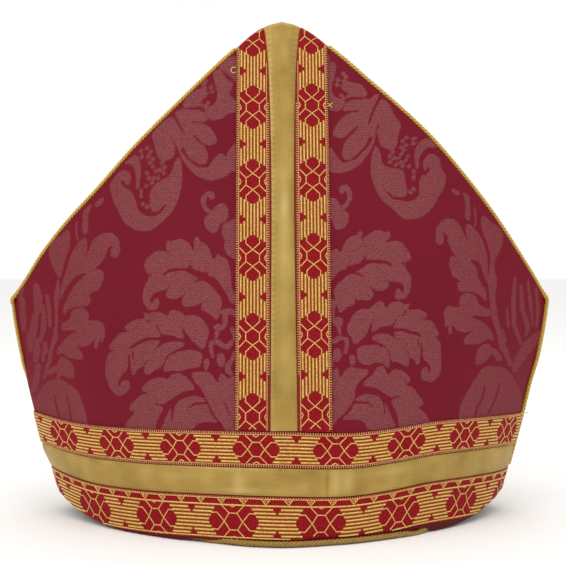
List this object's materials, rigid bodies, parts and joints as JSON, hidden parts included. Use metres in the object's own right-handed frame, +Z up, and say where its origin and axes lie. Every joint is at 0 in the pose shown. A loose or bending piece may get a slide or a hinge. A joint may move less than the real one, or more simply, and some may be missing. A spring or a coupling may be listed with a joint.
{
  "type": "bishop mitre",
  "caption": "Peaked ceremonial hat of two stiff damask shields with braid and satin orphreys, cord edging and an open base.",
  "frame": {"origin": "centre of the bounding box's bottom face, on the floor under the middle of the open rim", "axes": "+Z up to the peaks, -Y out of the front shield, +X to the wearer's left as the front is seen"},
  "size_m": [0.3052, 0.1828, 0.2726],
  "materials": {
    "damask": "bordeaux satin damask with a matt figure",
    "braid": "woven braid, red medallions on gold stripes",
    "satin": "gold satin ribbon",
    "cord": "twisted gold cord",
    "cloth": "plain woven bordeaux cloth"
  },
  "bodies": {
    "root": {"front_shield": "damask", "back_shield": "damask", "crown_gusset": "cloth", "front_upright_left_braid": "braid", "front_upright_ribbon": "satin", "front_upright_right_braid": "braid", "front_band_braid": "braid", "front_band_ribbon": "satin", "front_left_edge_cord": "cord", "front_right_edge_cord": "cord", "back_upright_left_braid": "braid", "back_upright_ribbon": "satin", "back_upright_right_braid": "braid", "back_band_braid": "braid", "back_band_ribbon": "satin", "back_left_edge_cord": "cord", "back_right_edge_cord": "cord", "lower_braid": "braid", "left_seam_cord": "cord", "right_seam_cord": "cord", "rim_cord": "cord"}
  },
  "joints": []
}
